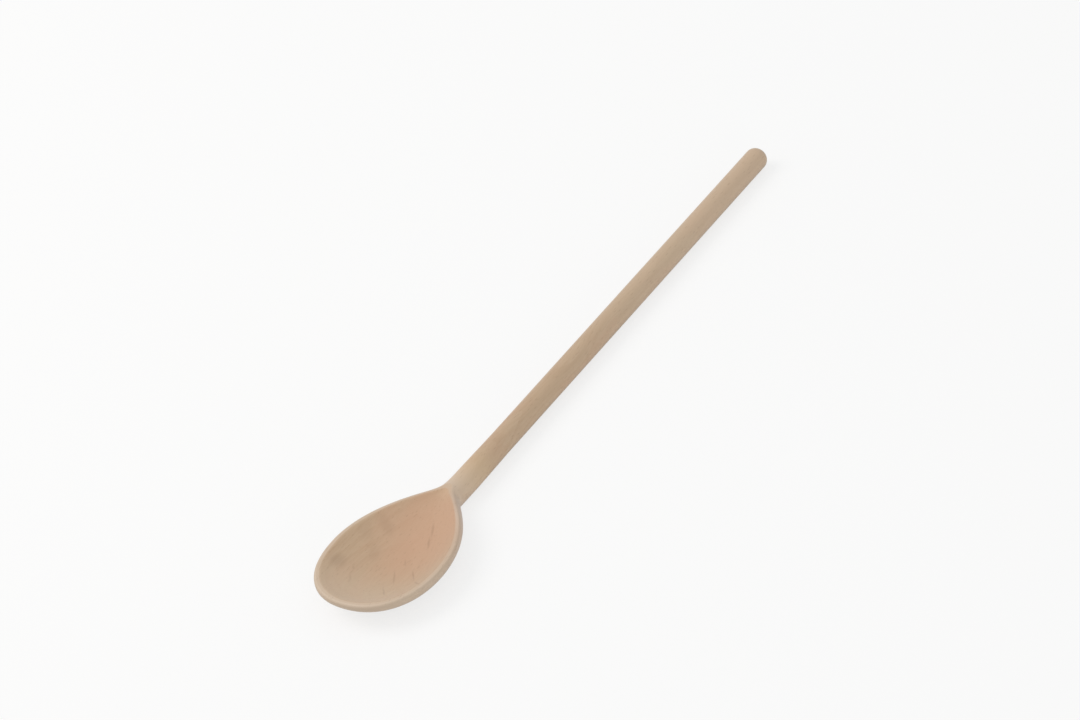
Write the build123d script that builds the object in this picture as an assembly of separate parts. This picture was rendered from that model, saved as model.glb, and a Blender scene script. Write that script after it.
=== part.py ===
from build123d import *
import math
import os

# A kitchen spoon cut and turned from one length of beech.
# It is drawn along X: the tip of the bowl is at X = 0, the handle's axis is the X axis
# and the hollow faces +Z. At the end it is laid down on its bowl and its handle.
# All lengths are in millimetres.

# The whole spoon
overall_length = 350.0
bowl_width = 58.1
blank_thickness = 13.0
handle_diameter = 10.9
end_round_share = 0.82

# The bowl's outline from above: an egg with its blunt end at the tip. Seen from the
# side, the keel's nose is less blunt.
bowl_widest_x = 34.2
bowl_tail_length = 48.5
nose_power = 2.2
keel_nose_power = 1.7
tail_power = 0.75

# Heights in the blank: the rim over the top of the neck, the widest line under the rim
rim_height = 0.9
widest_line_drop = 1.6

# The bowl running into the neck. The widest line begins to sink a little behind the
# widest point, the crown ends behind the outline, and the round neck follows.
sink_delay = 5.8
crown_height = 16.0
crown_overhang = 6.1
neck_run = 7.2
neck_flare = 0.35
flare_length = 26.0
shoulder_power = 3.5

# The hollow: a dish with circular sections that rises and narrows towards the neck. Its
# nose has this share of the outline's nose power, so it is a little fuller.
rim_width = 2.7
hollow_depth = 8.0
deepest_delay = 1.6
hollow_setback = 2.0
hollow_end_radius = 3.5
dish_nose_share = 1.09
dish_tail_power = 1.85
cutter_runout = 2.5

# Rounding of the rim's two edges, and how much it may take of the hollow's end radius,
# of the rim's width and of the wall over the widest line
rim_radius = 1.3
hollow_end_share = 0.86
rim_width_share = 0.5
wall_share = 0.84

# How many sections each skin is drawn over
nose_sections = 12
tail_sections = 30
cutter_sections = 20

# Sizes that follow from those above
handle_radius = handle_diameter / 2
neck_radius = handle_radius + neck_flare
end_round = end_round_share * handle_radius
bowl_half_width = bowl_width / 2
hollow_half_width = bowl_half_width - rim_width
rim_level = neck_radius + rim_height
keel_drop = blank_thickness - rim_level
widest_line_height = rim_level - widest_line_drop
bowl_outline_end_x = bowl_widest_x + bowl_tail_length
sink_start_x = bowl_widest_x + sink_delay
crown_end_x = bowl_outline_end_x + crown_overhang
neck_x = crown_end_x + neck_run
flare_end_x = neck_x + flare_length
hollow_deepest_x = bowl_widest_x + deepest_delay
hollow_end_x = bowl_outline_end_x - hollow_setback
dish_nose_power = dish_nose_share * nose_power
rim_rounding = min(
    rim_radius,
    hollow_end_share * hollow_end_radius,
    rim_width_share * rim_width,
    wall_share * widest_line_drop,
)


def ease(share):
    """Smooth step from 0 to 1, level at both ends."""
    share = min(1, max(0, share))
    return share * share * (3 - 2 * share)


def nose_share(x, power):
    """Height of a rounded nose at x, as a share of its height at the widest point."""
    ahead = (bowl_widest_x - x) / bowl_widest_x
    return (1 - ahead**power) ** (1 / power)


def egg_share(x, end_x):
    """Height of the egg outline at x, as a share of its greatest height."""
    if x <= bowl_widest_x:
        return nose_share(x, nose_power)
    behind = min(1, (x - bowl_widest_x) / (end_x - bowl_widest_x))
    return max(0, math.cos(math.pi / 2 * behind)) ** tail_power


def faired(height, floor):
    """A height that, as it falls to nothing, runs smoothly into a floor instead."""
    return (height**shoulder_power + floor**shoulder_power) ** (1 / shoulder_power)


def shouldered(x, height, end_x):
    """An egg outline of this height that runs into the neck behind its widest point."""
    egg = height * egg_share(x, end_x)
    return egg if x <= bowl_widest_x else faired(egg, neck_radius)


def widest_height(x):
    """Height of the spoon's widest line: near the rim, then down to the neck's axis."""
    return widest_line_height * (1 - ease((x - sink_start_x) / (neck_x - sink_start_x)))


def keel_height(x):
    """Height of the underside along the middle of the spoon."""
    if x <= bowl_widest_x:
        full_depth = widest_line_height + keel_drop
        return widest_line_height - full_depth * nose_share(x, keel_nose_power)
    rise = keel_drop - neck_radius
    return rise * ease((x - bowl_widest_x) / (neck_x - bowl_widest_x)) - keel_drop


def body_section(x):
    """Section of the spoon at x: half an ellipse over the widest line, half below."""
    width = shouldered(x, bowl_half_width, bowl_outline_end_x)
    height = shouldered(x, crown_height, crown_end_x)
    middle = widest_height(x)
    crown = EllipticalCenterArc((0, 0), width, height, 0, arc_size=180)
    keel = EllipticalCenterArc((0, 0), width, middle - keel_height(x), 180, arc_size=180)
    plane = Plane(origin=(x, 0, middle), x_dir=(0, 1, 0), z_dir=(1, 0, 0))
    return plane * make_face(crown + keel)


def at_rim(x, width):
    """Half width at the rim's level of a section whose widest half width is this."""
    rise = (rim_level - widest_height(x)) / shouldered(x, crown_height, crown_end_x)
    return width * math.sqrt(max(0, 1 - rise**2))


def dish_radius(x, depth):
    """Radius of a dish this deep at x that leaves the rim its width at both sides."""
    width = at_rim(x, hollow_half_width * egg_share(x, hollow_end_x))
    through_rim = (width**2 + depth**2) / (2 * depth) if depth > 0 else 0
    return faired(through_rim, hollow_end_radius)


def dish_section(x):
    """Circle that cuts the hollow at x. Beyond the hollow's ends it clears the rim."""
    if x <= hollow_deepest_x:
        away = (hollow_deepest_x - x) / (hollow_deepest_x - rim_width)
        depth = hollow_depth * (1 - away**dish_nose_power)
        radius = dish_radius(hollow_deepest_x, hollow_depth)
    else:
        away = (x - hollow_deepest_x) / (hollow_end_x - hollow_deepest_x)
        depth = hollow_depth * (1 - away**dish_tail_power)
        radius = dish_radius(x, depth)
    plane = Plane(origin=(x, 0, rim_level - depth + radius), z_dir=(1, 0, 0))
    return plane * Circle(radius)


# The bowl's outside is a skin over sections from the tip to the round neck. They lie
# closer together towards the tip, where the outline turns fastest.
turns = [math.pi / 2 * i / nose_sections for i in range(1, nose_sections + 1)]
stations = [bowl_widest_x * (1 - math.cos(turn)) for turn in turns]
tail_step = (neck_x - bowl_widest_x) / tail_sections
stations += [bowl_widest_x + tail_step * i for i in range(1, tail_sections + 1)]
tip = Vertex(0, 0, widest_line_height)
bowl = loft([tip] + [body_section(x) for x in stations])

# The handle is turned: a slight flare at the neck, a plain shaft and a rounded end.
shaft_end_x = overall_length - end_round
flare = Spline(
    (neck_x, neck_radius), (flare_end_x, handle_radius), tangents=[(1, 0), (1, 0)]
)
shaft = Line(flare @ 1, (shaft_end_x, handle_radius))
end_arc = RadiusArc(shaft @ 1, (overall_length, handle_radius - end_round), end_round)
back_to_neck = Polyline(end_arc @ 1, (overall_length, 0), (neck_x, 0), flare @ 0)
handle = revolve(make_face(flare + shaft + end_arc + back_to_neck), Axis.X)

# The top is planed off level with the rim, and the hollow is cut into it.
planed_off = Pos(0, 0, rim_level) * Box(
    2 * overall_length,
    2 * bowl_width,
    2 * bowl_width,
    align=(Align.CENTER, Align.CENTER, Align.MIN),
)
cutter_start_x = rim_width - cutter_runout
cutter_step = (hollow_end_x + cutter_runout - cutter_start_x) / cutter_sections
cutter_stations = [cutter_start_x + cutter_step * i for i in range(cutter_sections + 1)]
cutter = loft([dish_section(x) for x in cutter_stations])
spoon = bowl + handle - planed_off - cutter

# Both edges of the rim are rounded over.
rim = spoon.faces().filter_by(Axis.Z).sort_by(Axis.Z)[-1]
spoon = fillet(rim.edges(), rim_rounding)

# The spoon lies on the lowest point of its bowl and on the end of its handle. The
# origin is on that surface, under the middle of the spoon's length and width.
dip = math.atan2(keel_drop - handle_radius, shaft_end_x - bowl_widest_x)
spoon = Rot(0, math.degrees(dip), 0) * spoon
extent = spoon.bounding_box()
spoon = Pos(-extent.center().X, 0, -extent.min.Z) * spoon

os.makedirs("parts", exist_ok=True)
export_step(spoon, "parts/spoon.step")
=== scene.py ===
import math

import bpy
from bpy.props import FloatProperty, FloatVectorProperty, PointerProperty
from mathutils import Matrix, Vector

bl_info = {
    "name": "Beech Spoon",
    "version": (1, 0, 0),
    "blender": (4, 5, 0),
    "location": "3D View > Sidebar > Spoon",
    "description": "Dresses a wooden kitchen spoon in sanded beech and sets it on a pale floor",
    "category": "Object",
}

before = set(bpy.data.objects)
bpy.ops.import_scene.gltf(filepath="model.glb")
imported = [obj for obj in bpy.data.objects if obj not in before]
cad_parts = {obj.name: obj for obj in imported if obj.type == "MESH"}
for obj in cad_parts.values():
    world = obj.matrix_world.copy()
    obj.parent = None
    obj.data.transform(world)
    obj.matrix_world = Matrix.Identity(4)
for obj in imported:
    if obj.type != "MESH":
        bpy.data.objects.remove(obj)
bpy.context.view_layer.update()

MM = 0.001

# A Mix node that mixes colours has these sockets for its factor, colours and result.
MIX_FACTOR, MIX_A, MIX_B, MIX_RESULT = 0, 6, 7, 2

# Marks in the wood of the bowl. Each has its place, its half length, half width and
# half depth in millimetres, its turn from the handle's direction in degrees, and the
# share of the mark's colour at its middle. The first four are broad, the rest thin.
WOOD_MARKS = (
    ((-148.8, 21.0, 10.5), (6.4, 5.6, 8.0), 0, 0.17),
    ((-120.8, 14.8, 10.0), (10.0, 4.4, 7.0), 52, 0.11),
    ((-128.5, 20.4, 10.5), (8.0, 5.4, 7.0), 40, 0.08),
    ((-135.8, 11.8, 7.0), (9.0, 4.4, 6.0), 25, 0.08),
    ((-115.5, -5.8, 7.9), (6.8, 1.0, 4.0), 26, 0.21),
    ((-122.6, -8.4, 7.1), (5.8, 1.0, 4.0), 29, 0.25),
    ((-143.6, -14.6, 7.5), (7.8, 0.7, 5.0), 41, 0.26),
    ((-150.4, -22.0, 11.2), (5.6, 0.7, 6.0), 57, 0.26),
    ((-145.9, -5.6, 5.7), (8.6, 0.8, 4.0), 34, 0.2),
    ((-156.9, -8.3, 7.8), (7.6, 0.7, 5.0), 41, 0.22),
    ((-135.6, -4.3, 5.3), (4.0, 0.8, 4.0), 38, 0.15),
    ((-137.2, -12.9, 6.8), (1.8, 0.9, 4.0), 10, 0.16),
    ((-132.8, -23.9, 11.9), (1.6, 1.0, 4.0), 0, 0.16),
    ((-147.7, 14.2, 7.6), (1.8, 0.9, 4.0), 38, 0.14),
    ((-154.1, 11.4, 7.7), (4.2, 0.8, 4.0), 34, 0.1),
)

# Broad areas where the colour tends to another colour, each with the name of its colour and
# then given in the same way: the bowl is pinker than the handle and the handle's end paler.
# The nose of the hollow is painted paler, a painted highlight, and the neck painted paler and
# yellower, partly its tone and partly painted reflected light.
WOOD_AREAS = (
    ("pink_wood", (-117.0, -8.0, 8.0), (52.0, 38.0, 40.0), 0, 0.8),
    ("pale_tone_and_highlight", (-166.0, 4.0, 11.0), (32.0, 40.0, 16.0), 0, 0.5),
    ("pale_tone_and_highlight", (160.0, 0.0, 6.0), (210.0, 40.0, 40.0), 0, 0.5),
    ("neck_tone_and_reflection", (-82.0, -2.0, 9.0), (24.0, 24.0, 20.0), 0, 0.5),
)

# The bowl's rim and outside are painted paler and greyer, partly rubbing and partly painted
# reflected light from the pale floor. They face away from this place in the hollow, and
# this fades out between these two lengths, where the bowl passes into the handle.
HOLLOW_MIDDLE = (-131.0, 0.0, 8.0)
REFLECTION_AND_WEAR_TO, REFLECTION_AND_WEAR_UNTIL = -88.0, -70.0

# The most that each part of the wood's figure, and the painted light on the bowl's
# outside and the rim's crest, takes of its own colour.
RING_SHARE = 0.2
FIBRE_SHARE = 0.45
PATCH_SHARE = 0.3
REFLECTION_AND_WEAR_SHARE = 0.5
CREST_HIGHLIGHT_SHARE = 0.6
FLECK_SHARE = 0.2
PORE_SHARE = 0.1
END_GRAIN_SHARE = 0.2

# The middle of the tree is turned from the handle's direction by these degrees.
PITH_TURN = (0.0, 2.6, -1.8)

# A fleck is about this wide in the cells of the Voronoi node.
FLECK_IN_CELL = 0.4


def linear(code):
    """A colour written as an sRGB hex value, as the linear RGBA that shaders use."""
    shares = [int(code[i : i + 2], 16) / 255 for i in (1, 3, 5)]
    return tuple(
        s / 12.92 if s <= 0.04045 else ((s + 0.055) / 1.055) ** 2.4 for s in shares
    ) + (1.0,)


def add(tree, kind, inputs=None, **settings):
    """Adds a node with these settings. Each input is a value, or the output that feeds it."""
    node = tree.nodes.new(kind)
    for name, value in settings.items():
        setattr(node, name, value)
    for name, value in (inputs or {}).items():
        if isinstance(value, bpy.types.NodeSocket):
            tree.links.new(value, node.inputs[name])
        else:
            node.inputs[name].default_value = value
    return node


def colour_setting(name, description, default):
    """A linear colour that a user can change in the sidebar."""
    return FloatVectorProperty(
        name=name,
        description=description,
        subtype="COLOR",
        size=len(default),
        min=0,
        max=1,
        default=default,
    )


class BeechSettings(bpy.types.PropertyGroup):
    """Colours and grain of the sanded beech."""

    light_wood: colour_setting(
        "Early wood", "Colour between two ring lines", linear("#C9AE91")
    )
    dark_wood: colour_setting("Late wood", "Colour of a ring line", linear("#B8997B"))
    pink_wood: colour_setting(
        "Pink patches", "Colour that broad patches and the bowl tend to", linear("#CCA487")
    )
    # Painted highlight at the nose of the hollow; the same colour makes the handle's end paler.
    pale_tone_and_highlight: colour_setting("Pale areas", "Colour of the palest wood", linear("#D2BCA3"))
    # Partly the neck's tone and partly painted reflected light, which makes the neck paler.
    neck_tone_and_reflection: colour_setting(
        "Neck", "Colour that the wood of the neck tends to", linear("#D8BC98")
    )
    # Painted reflected light and rubbing: the rim and outside of the bowl tend to this paler,
    # greyer colour.
    reflection_and_wear_colour: colour_setting(
        "Worn wood", "Colour that the rubbed rim and outside of the bowl tend to", linear("#CFC0AF")
    )
    # Painted highlight on the crest of the bowl's rim.
    crest_highlight_colour: colour_setting(
        "Crest of the rim", "Colour that the crest of the bowl's rim tends to", linear("#E8D2BE")
    )
    mark_wood: colour_setting(
        "Marks", "Colour that flecks, pores, marks and end grain tend to", linear("#7A5B46")
    )
    ring_width: FloatProperty(
        name="Ring width",
        description="From one year's ring to the next",
        unit="LENGTH",
        default=2.9 * MM,
    )
    pith_side: FloatProperty(
        name="Pith aside",
        description="How far left of the handle the middle of the tree lay",
        unit="LENGTH",
        default=24 * MM,
    )
    pith_depth: FloatProperty(
        name="Pith below",
        description="How far below the spoon the middle of the tree lay",
        unit="LENGTH",
        default=70 * MM,
    )
    wander_length: FloatProperty(
        name="Wander length",
        description="Length over which the grain wanders aside",
        unit="LENGTH",
        default=70 * MM,
    )
    wander_reach: FloatProperty(
        name="Wander",
        description="How far aside the grain can wander",
        unit="LENGTH",
        default=16 * MM,
    )
    fibre_length: FloatProperty(
        name="Fibre streak",
        description="Length of a streak along the grain",
        unit="LENGTH",
        default=36 * MM,
    )
    fibre_width: FloatProperty(
        name="Streak width",
        description="Width of a streak across the grain",
        unit="LENGTH",
        default=0.9 * MM,
    )
    pore_length: FloatProperty(
        name="Pore length",
        description="Length of a pore along the grain",
        unit="LENGTH",
        default=1.8 * MM,
    )
    pore_width: FloatProperty(
        name="Pore width",
        description="Width of a pore across the grain",
        unit="LENGTH",
        default=0.28 * MM,
    )
    patch_length: FloatProperty(
        name="Patch length",
        description="Length of a pink patch along the grain",
        unit="LENGTH",
        default=34 * MM,
    )
    patch_width: FloatProperty(
        name="Patch width",
        description="Width of a pink patch across the grain",
        unit="LENGTH",
        default=12 * MM,
    )
    fleck_length: FloatProperty(
        name="Fleck length",
        description="Length of a ray fleck along the grain",
        unit="LENGTH",
        default=2.4 * MM,
    )
    fleck_width: FloatProperty(
        name="Fleck width",
        description="Width of a ray fleck across the grain",
        unit="LENGTH",
        default=0.4 * MM,
    )
    ragged_size: FloatProperty(
        name="Ragged size",
        description="Size of the waves in the edge of a mark",
        unit="LENGTH",
        default=2.5 * MM,
    )
    ragged_reach: FloatProperty(
        name="Ragged edge",
        description="How far the edge of a mark waves",
        unit="LENGTH",
        default=0.6 * MM,
    )
    uneven_size: FloatProperty(
        name="Uneven size",
        description="Size of the dents and swells that sanding by hand leaves",
        unit="LENGTH",
        default=9 * MM,
    )
    uneven_height: FloatProperty(
        name="Uneven height",
        description="Height of the dents and swells that sanding by hand leaves",
        unit="LENGTH",
        default=0.12 * MM,
    )
    fibre_height: FloatProperty(
        name="Fibre height",
        description="Height of a raised fibre and depth of a pore",
        unit="LENGTH",
        default=0.012 * MM,
    )


class StageSettings(bpy.types.PropertyGroup):
    """Floor, light and camera."""

    floor_size: FloatProperty(
        name="Floor", description="Side of the floor", unit="LENGTH", default=8.0
    )
    floor_colour: colour_setting("Floor colour", "Colour of the floor", linear("#F4F4F4"))
    floor_glow: FloatProperty(
        name="Floor glow",
        description="Share of plain white in what the camera sees of the floor",
        subtype="FACTOR",
        min=0,
        max=1,
        default=0.75,
    )
    sky_strength: FloatProperty(
        name="Sky", description="Strength of the even light", default=0.65
    )
    sky_colour: colour_setting(
        "Sky colour", "Colour of the even light", (0.965, 0.995, 1.0, 1.0)
    )
    key_power: FloatProperty(
        name="Key lamp",
        description="Power of the soft lamp behind the spoon",
        unit="POWER",
        default=15.0,
    )
    key_size: FloatProperty(
        name="Key size",
        description="Side of the soft lamp behind the spoon",
        unit="LENGTH",
        default=1.2,
    )
    key_colour: colour_setting(
        "Key colour", "Colour of the soft lamp behind the spoon", (1.0, 0.93, 0.88)
    )
    key_place: FloatVectorProperty(
        name="Key place",
        description="Where the soft lamp behind the spoon stands",
        subtype="TRANSLATION",
        size=3,
        default=(-0.5, 1.15, 1.5),
    )
    fill_power: FloatProperty(
        name="Fill lamp",
        description="Power of the low lamp in front of the spoon",
        unit="POWER",
        default=4.5,
    )
    fill_size: FloatProperty(
        name="Fill size",
        description="Side of the low lamp in front of the spoon",
        unit="LENGTH",
        default=0.6,
    )
    fill_colour: colour_setting(
        "Fill colour", "Colour of the low lamp in front of the spoon", (1.0, 1.0, 1.0)
    )
    fill_place: FloatVectorProperty(
        name="Fill place",
        description="Where the low lamp in front of the spoon stands",
        subtype="TRANSLATION",
        size=3,
        default=(-1.15, -1.64, 0.38),
    )
    camera_aim: FloatVectorProperty(
        name="Aim",
        description="Point in the middle of the picture",
        subtype="TRANSLATION",
        size=3,
        default=(3.3 * MM, 15.34 * MM, 6.33 * MM),
    )
    camera_azimuth: FloatProperty(
        name="Azimuth",
        description="Where the camera stands round the aim, from the handle's direction",
        subtype="ANGLE",
        default=math.radians(-138.81),
    )
    camera_elevation: FloatProperty(
        name="Elevation",
        description="Angle of the camera over the floor",
        subtype="ANGLE",
        default=math.radians(35.95),
    )
    camera_roll: FloatProperty(
        name="Roll",
        description="Turn of the camera about its own view",
        subtype="ANGLE",
        default=math.radians(-14.02),
    )
    camera_distance: FloatProperty(
        name="Distance",
        description="From the aim to the camera",
        unit="LENGTH",
        default=1.858,
    )
    lens: FloatProperty(
        name="Lens", description="Focal length of the camera", unit="CAMERA", default=137.96
    )


def streaks(tree, grain, length, width, detail):
    """Noise drawn out along the grain to this length and width."""
    drawn_out = add(
        tree,
        "ShaderNodeVectorMath",
        {0: grain, 1: (1 / length, 1 / width, 1 / width)},
        operation="MULTIPLY",
    )
    return add(
        tree,
        "ShaderNodeTexNoise",
        {"Vector": drawn_out.outputs[0], "Scale": 1.0, "Detail": detail},
    ).outputs["Fac"]


def mark(tree, place, middle, halves, turn, share):
    """One mark in the wood: strongest at its middle and fading to its edge."""
    own_place = add(
        tree,
        "ShaderNodeMapping",
        {
            "Vector": place,
            "Location": Vector(middle) * MM,
            "Rotation": (0, 0, math.radians(turn)),
            "Scale": Vector(halves) * MM,
        },
        vector_type="TEXTURE",
    )
    away = add(tree, "ShaderNodeVectorMath", {0: own_place.outputs[0]}, operation="LENGTH")
    return add(
        tree,
        "ShaderNodeMapRange",
        {
            "Value": away.outputs["Value"],
            "From Min": 0.1,
            "From Max": 1.0,
            "To Min": share,
            "To Max": 0.0,
        },
        interpolation_type="SMOOTHERSTEP",
    ).outputs[0]


def wandering_grain(tree, place, settings):
    """The place in the wood, whose grain wanders a little from the handle's direction."""
    wander = add(
        tree,
        "ShaderNodeTexNoise",
        {"Vector": place, "Scale": 1 / settings.wander_length, "Detail": 1.0},
    )
    reach = settings.wander_reach
    return add(
        tree,
        "ShaderNodeVectorMath",
        {0: wander.outputs["Color"], 1: (0, reach, reach), 2: place},
        operation="MULTIPLY_ADD",
    ).outputs[0]


def year_rings(tree, grain, settings):
    """Soft ring lines round the middle of the tree, which ran nearly along the handle."""
    from_pith = add(
        tree,
        "ShaderNodeMapping",
        {
            "Vector": grain,
            "Location": (0, -settings.pith_side, settings.pith_depth),
            "Rotation": [math.radians(turn) for turn in PITH_TURN],
        },
    )
    # At a scale of 1 the node's rings are a tenth of pi apart.
    rings = add(
        tree,
        "ShaderNodeTexWave",
        {
            "Vector": from_pith.outputs[0],
            "Scale": math.pi / (10 * settings.ring_width),
            "Distortion": 1.5,
            "Detail": 2.0,
            "Detail Scale": 0.5,
            "Detail Roughness": 0.5,
        },
        wave_type="RINGS",
        rings_direction="X",
        wave_profile="SAW",
    )
    return add(
        tree,
        "ShaderNodeMapRange",
        {"Value": rings.outputs["Fac"], "From Min": 0.35, "From Max": 1.0},
        interpolation_type="SMOOTHSTEP",
    ).outputs[0]


def reflection_and_wear(tree, place, normal, patches):
    """How much the rim and the outside of the bowl are painted paler and greyer, partly for
    rubbing and partly as painted reflected light, and how much more the crest of the rim gets
    as a painted highlight, which faces neither into the hollow nor straight out."""
    from_middle = add(
        tree,
        "ShaderNodeVectorMath",
        {0: place, 1: Vector(HOLLOW_MIDDLE) * MM},
        operation="SUBTRACT",
    )
    outwards = add(
        tree, "ShaderNodeVectorMath", {0: from_middle.outputs[0]}, operation="NORMALIZE"
    )
    facing = add(
        tree, "ShaderNodeVectorMath", {0: outwards.outputs[0], 1: normal}, operation="DOT_PRODUCT"
    )
    outside = add(
        tree,
        "ShaderNodeMapRange",
        {
            "Value": facing.outputs["Value"],
            "From Min": -0.18,
            "From Max": 0.38,
            "To Max": REFLECTION_AND_WEAR_SHARE,
        },
        interpolation_type="SMOOTHSTEP",
    )
    along = add(tree, "ShaderNodeSeparateXYZ", {"Vector": place})
    bowl_end = add(
        tree,
        "ShaderNodeMapRange",
        {
            "Value": along.outputs["X"],
            "From Min": REFLECTION_AND_WEAR_UNTIL * MM,
            "From Max": REFLECTION_AND_WEAR_TO * MM,
        },
        interpolation_type="SMOOTHSTEP",
    )
    outside_of_bowl = add(
        tree,
        "ShaderNodeMath",
        {0: outside.outputs[0], 1: bowl_end.outputs[0]},
        operation="MULTIPLY",
    )
    uneven_reflection_and_wear = add(
        tree,
        "ShaderNodeMapRange",
        {"Value": patches, "From Min": 0.35, "From Max": 0.6, "To Min": 0.75, "To Max": 1.1},
    )
    reflection_and_wear_share = add(
        tree,
        "ShaderNodeMath",
        {0: outside_of_bowl.outputs[0], 1: uneven_reflection_and_wear.outputs[0]},
        operation="MULTIPLY",
    ).outputs[0]
    # Painted highlight on the crest of the rim.
    upwards = add(
        tree,
        "ShaderNodeMapRange",
        {
            "Value": facing.outputs["Value"],
            "From Min": 0.8,
            "From Max": 0.3,
            "To Max": CREST_HIGHLIGHT_SHARE,
        },
        interpolation_type="SMOOTHSTEP",
    )
    crest = add(
        tree, "ShaderNodeMath", {0: reflection_and_wear_share, 1: upwards.outputs[0]}, operation="MULTIPLY"
    ).outputs[0]
    return reflection_and_wear_share, crest


def darkening(tree, place, normal, grain, pores, settings):
    """How dark ray flecks, pores, marks and end grain make the wood, whichever does most."""
    # Ray flecks are short dark lenses along the grain.
    length, width = settings.fleck_length, settings.fleck_width
    in_cells = [FLECK_IN_CELL / size for size in (length, width, width)]
    fleck_place = add(
        tree, "ShaderNodeVectorMath", {0: grain, 1: in_cells}, operation="MULTIPLY"
    )
    flecks = add(tree, "ShaderNodeTexVoronoi", {"Vector": fleck_place.outputs[0], "Scale": 1.0})
    fleck_share = add(
        tree,
        "ShaderNodeMapRange",
        {
            "Value": flecks.outputs["Distance"],
            "From Min": 0.08,
            "From Max": 0.26,
            "To Min": FLECK_SHARE,
            "To Max": 0.0,
        },
        interpolation_type="SMOOTHSTEP",
    )
    pore_share = add(
        tree,
        "ShaderNodeMapRange",
        {"Value": pores, "From Min": 0.62, "From Max": 0.78, "To Max": PORE_SHARE},
    )

    # The marks have slightly ragged edges.
    ragged = add(
        tree,
        "ShaderNodeTexNoise",
        {"Vector": place, "Scale": 1 / settings.ragged_size, "Detail": 2.0},
    )
    ragged_place = add(
        tree,
        "ShaderNodeVectorMath",
        {0: ragged.outputs["Color"], 1: (settings.ragged_reach,) * 3, 2: place},
        operation="MULTIPLY_ADD",
    )

    # Surfaces cut across the grain drink in light and look darker.
    across = add(tree, "ShaderNodeSeparateXYZ", {"Vector": normal})
    end_grain = add(tree, "ShaderNodeMath", {0: across.outputs["X"]}, operation="ABSOLUTE")
    end_grain_share = add(
        tree,
        "ShaderNodeMapRange",
        {
            "Value": end_grain.outputs[0],
            "From Min": 0.35,
            "From Max": 1.0,
            "To Max": END_GRAIN_SHARE,
        },
        interpolation_type="SMOOTHSTEP",
    )

    darkest = fleck_share.outputs[0]
    for share in (
        pore_share.outputs[0],
        *(mark(tree, ragged_place.outputs[0], *row) for row in WOOD_MARKS),
        end_grain_share.outputs[0],
    ):
        darkest = add(
            tree, "ShaderNodeMath", {0: darkest, 1: share}, operation="MAXIMUM"
        ).outputs[0]
    return darkest


def sanded_relief(tree, place, normal, fibres, pores, settings):
    """The normal with the slight unevenness, raised fibres and open pores that sanding
    leaves."""
    uneven = add(
        tree,
        "ShaderNodeTexNoise",
        {"Vector": place, "Scale": 1 / settings.uneven_size, "Detail": 2.0},
    )
    for pattern, height in (
        (uneven.outputs["Fac"], settings.uneven_height),
        (fibres, settings.fibre_height),
        (pores, -settings.fibre_height),
    ):
        normal = add(
            tree,
            "ShaderNodeBump",
            {"Height": pattern, "Strength": 1.0, "Distance": height, "Normal": normal},
        ).outputs[0]
    return normal


def sanded_beech(settings):
    """Steamed beech cut along the grain and sanded, with no oil or lacquer. To the eye it
    is a matt pinkish tan with soft ring bands, short dark ray flecks and fine fibres. The rim
    and the outside of the bowl are painted paler, partly rubbing and partly painted reflected
    light, with a painted highlight on the rim's crest."""
    material = bpy.data.materials.new("sanded beech")
    material.use_nodes = True
    tree = material.node_tree
    tree.nodes.clear()
    place = add(tree, "ShaderNodeTexCoord").outputs["Object"]
    normal = add(tree, "ShaderNodeNewGeometry").outputs["Normal"]
    grain = wandering_grain(tree, place, settings)

    # Single fibres and pores of beech are under 0.1 mm wide, too fine to show. The fibres
    # are drawn as streaks of many, and the pores wider than they are.
    fibres = streaks(tree, grain, settings.fibre_length, settings.fibre_width, 3.0)
    pores = streaks(tree, grain, settings.pore_length, settings.pore_width, 1.0)
    patches = streaks(tree, grain, settings.patch_length, settings.patch_width, 2.0)

    fibre_share = add(
        tree,
        "ShaderNodeMapRange",
        {"Value": fibres, "From Min": 0.25, "From Max": 0.8, "To Max": FIBRE_SHARE},
    )
    dark_share = add(
        tree,
        "ShaderNodeMath",
        {0: year_rings(tree, grain, settings), 1: RING_SHARE, 2: fibre_share.outputs[0]},
        operation="MULTIPLY_ADD",
        use_clamp=True,
    )
    patch_share = add(
        tree,
        "ShaderNodeMapRange",
        {"Value": patches, "From Min": 0.4, "From Max": 0.62, "To Max": PATCH_SHARE},
        interpolation_type="SMOOTHSTEP",
    )
    reflection_and_wear_share, crest = reflection_and_wear(tree, place, normal, patches)

    # Each colour is laid by its share over what lies under it.
    colour = settings.light_wood
    for share, own_colour in (
        (dark_share.outputs[0], settings.dark_wood),
        (patch_share.outputs[0], settings.pink_wood),
        *((mark(tree, place, *row), getattr(settings, name)) for name, *row in WOOD_AREAS),
        # Painted reflected light and rubbing on the bowl's outside, then a painted highlight on the
        # rim's crest.
        (reflection_and_wear_share, settings.reflection_and_wear_colour),
        (crest, settings.crest_highlight_colour),
        (darkening(tree, place, normal, grain, pores, settings), settings.mark_wood),
    ):
        colour = add(
            tree,
            "ShaderNodeMix",
            {MIX_FACTOR: share, MIX_A: colour, MIX_B: own_colour},
            data_type="RGBA",
        ).outputs[MIX_RESULT]

    roughness = add(
        tree,
        "ShaderNodeMapRange",
        {"Value": fibres, "From Min": 0.3, "From Max": 0.7, "To Min": 0.56, "To Max": 0.72},
    )
    surface = add(
        tree,
        "ShaderNodeBsdfPrincipled",
        {
            "Base Color": colour,
            "Roughness": roughness.outputs[0],
            "Normal": sanded_relief(tree, place, normal, fibres, pores, settings),
            "IOR": 1.5,
            "Specular IOR Level": 0.4,
            "Sheen Weight": 0.35,
            "Sheen Roughness": 0.4,
        },
    )
    add(tree, "ShaderNodeOutputMaterial", {"Surface": surface.outputs[0]})
    return material


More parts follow.
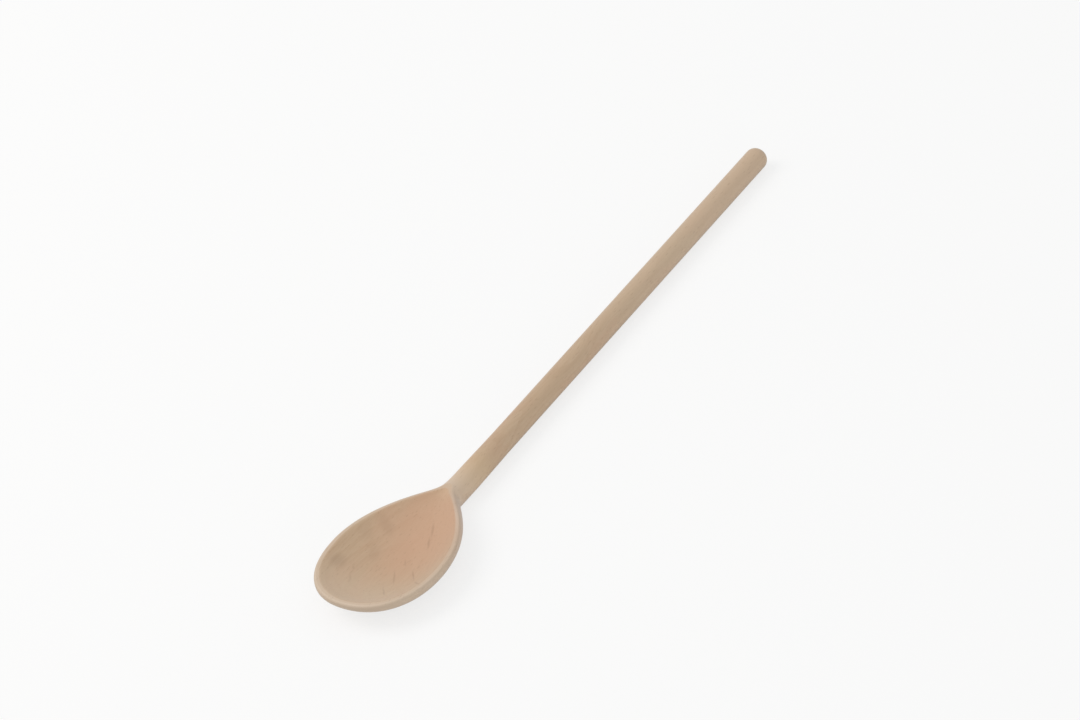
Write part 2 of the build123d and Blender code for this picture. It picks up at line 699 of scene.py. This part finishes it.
def pale_floor(settings):
    """Matt white board. The camera sees it lighter than it is, and its shadow soft."""
    material = bpy.data.materials.new("matt white board")
    material.use_nodes = True
    tree = material.node_tree
    tree.nodes.clear()
    matt = add(tree, "ShaderNodeBsdfDiffuse", {"Color": settings.floor_colour})
    glow = add(tree, "ShaderNodeEmission", {"Color": (1, 1, 1, 1), "Strength": 1.0})
    seen = add(tree, "ShaderNodeLightPath").outputs["Is Camera Ray"]
    share = add(tree, "ShaderNodeMath", {0: seen, 1: settings.floor_glow}, operation="MULTIPLY")
    surface = add(
        tree,
        "ShaderNodeMixShader",
        {"Fac": share.outputs[0], 1: matt.outputs[0], 2: glow.outputs[0]},
    )
    add(tree, "ShaderNodeOutputMaterial", {"Surface": surface.outputs[0]})
    return material


class SPOON_OT_dress_spoon(bpy.types.Operator):
    """Gives the spoon its sanded beech"""

    bl_idname = "spoon.dress_spoon"
    bl_label = "Sanded beech"

    def execute(self, context):
        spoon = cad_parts["spoon"]
        material = sanded_beech(context.scene.beech)
        for slot in spoon.material_slots:
            slot.material = material
        return {"FINISHED"}


class SPOON_OT_set_stage(bpy.types.Operator):
    """Adds the floor, the light and the camera"""

    bl_idname = "spoon.set_stage"
    bl_label = "Floor, light and camera"

    def execute(self, context):
        scene = context.scene
        settings = scene.stage
        self.lay_floor(scene, settings)
        self.light_sky(scene, settings)
        self.hang_lamps(scene, settings)
        self.place_camera(scene, settings)
        scene.view_settings.view_transform = "Standard"
        return {"FINISHED"}

    def lay_floor(self, scene, settings):
        """Lays one flat square under the spoon."""
        half = settings.floor_size / 2
        mesh = bpy.data.meshes.new("floor")
        corners = [(-half, -half, 0), (half, -half, 0), (half, half, 0), (-half, half, 0)]
        mesh.from_pydata(corners, [], [(0, 1, 2, 3)])
        mesh.materials.append(pale_floor(settings))
        floor = bpy.data.objects.new("floor", mesh)
        scene.collection.objects.link(floor)

    def light_sky(self, scene, settings):
        """Lights the spoon evenly from all round. The camera sees plain white there."""
        world = bpy.data.worlds.new("even light")
        world.use_nodes = True
        tree = world.node_tree
        tree.nodes.clear()
        sky = add(
            tree,
            "ShaderNodeBackground",
            {"Color": settings.sky_colour, "Strength": settings.sky_strength},
        )
        white = add(tree, "ShaderNodeBackground", {"Color": (1, 1, 1, 1), "Strength": 1.0})
        seen = add(tree, "ShaderNodeLightPath").outputs["Is Camera Ray"]
        both = add(
            tree, "ShaderNodeMixShader", {"Fac": seen, 1: sky.outputs[0], 2: white.outputs[0]}
        )
        add(tree, "ShaderNodeOutputWorld", {"Surface": both.outputs[0]})
        scene.world = world

    def hang_lamps(self, scene, settings):
        """Hangs the soft key lamp and the low fill lamp, both turned to the spoon."""
        for role in ("key", "fill"):
            lamp = bpy.data.lights.new(f"{role} lamp", "AREA")
            lamp.shape = "SQUARE"
            lamp.size = getattr(settings, f"{role}_size")
            lamp.energy = getattr(settings, f"{role}_power")
            lamp.color = getattr(settings, f"{role}_colour")
            place = Vector(getattr(settings, f"{role}_place"))
            lamp_object = bpy.data.objects.new(lamp.name, lamp)
            scene.collection.objects.link(lamp_object)
            lamp_object.location = place
            lamp_object.rotation_euler = (-place).to_track_quat("-Z", "Y").to_euler()

    def place_camera(self, scene, settings):
        """Looks at the aim from the photograph's side."""
        azimuth, elevation = settings.camera_azimuth, settings.camera_elevation
        out = Vector(
            (
                math.cos(elevation) * math.cos(azimuth),
                math.cos(elevation) * math.sin(azimuth),
                math.sin(elevation),
            )
        )
        level = out.cross(Vector((0, 0, -1))).normalized()
        right = Matrix.Rotation(settings.camera_roll, 3, out) @ level
        up = out.cross(right)
        rotation = Matrix((right, up, out)).transposed()
        camera = bpy.data.objects.new("camera", bpy.data.cameras.new("camera"))
        camera.data.lens = settings.lens
        scene.collection.objects.link(camera)
        camera.matrix_world = Matrix.Translation(
            Vector(settings.camera_aim) + out * settings.camera_distance
        ) @ rotation.to_4x4()
        scene.camera = camera


class SPOON_PT_spoon(bpy.types.Panel):
    """Steps that dress the spoon and set its stage"""

    bl_idname = "SPOON_PT_spoon"
    bl_label = "Spoon"
    bl_space_type = "VIEW_3D"
    bl_region_type = "UI"
    bl_category = "Spoon"

    def draw(self, context):
        for settings, operator in (
            (context.scene.beech, SPOON_OT_dress_spoon),
            (context.scene.stage, SPOON_OT_set_stage),
        ):
            box = self.layout.box()
            for name in settings.bl_rna.properties.keys():
                if name not in ("rna_type", "name"):
                    box.prop(settings, name)
            box.operator(operator.bl_idname)


CLASSES = (
    BeechSettings,
    StageSettings,
    SPOON_OT_dress_spoon,
    SPOON_OT_set_stage,
    SPOON_PT_spoon,
)


def register():
    for cls in CLASSES:
        bpy.utils.register_class(cls)
    bpy.types.Scene.beech = PointerProperty(type=BeechSettings)
    bpy.types.Scene.stage = PointerProperty(type=StageSettings)


def unregister():
    del bpy.types.Scene.stage
    del bpy.types.Scene.beech
    for cls in reversed(CLASSES):
        bpy.utils.unregister_class(cls)


def main():
    register()
    bpy.ops.spoon.dress_spoon()
    bpy.ops.spoon.set_stage()


if __name__ == "__main__":
    main()
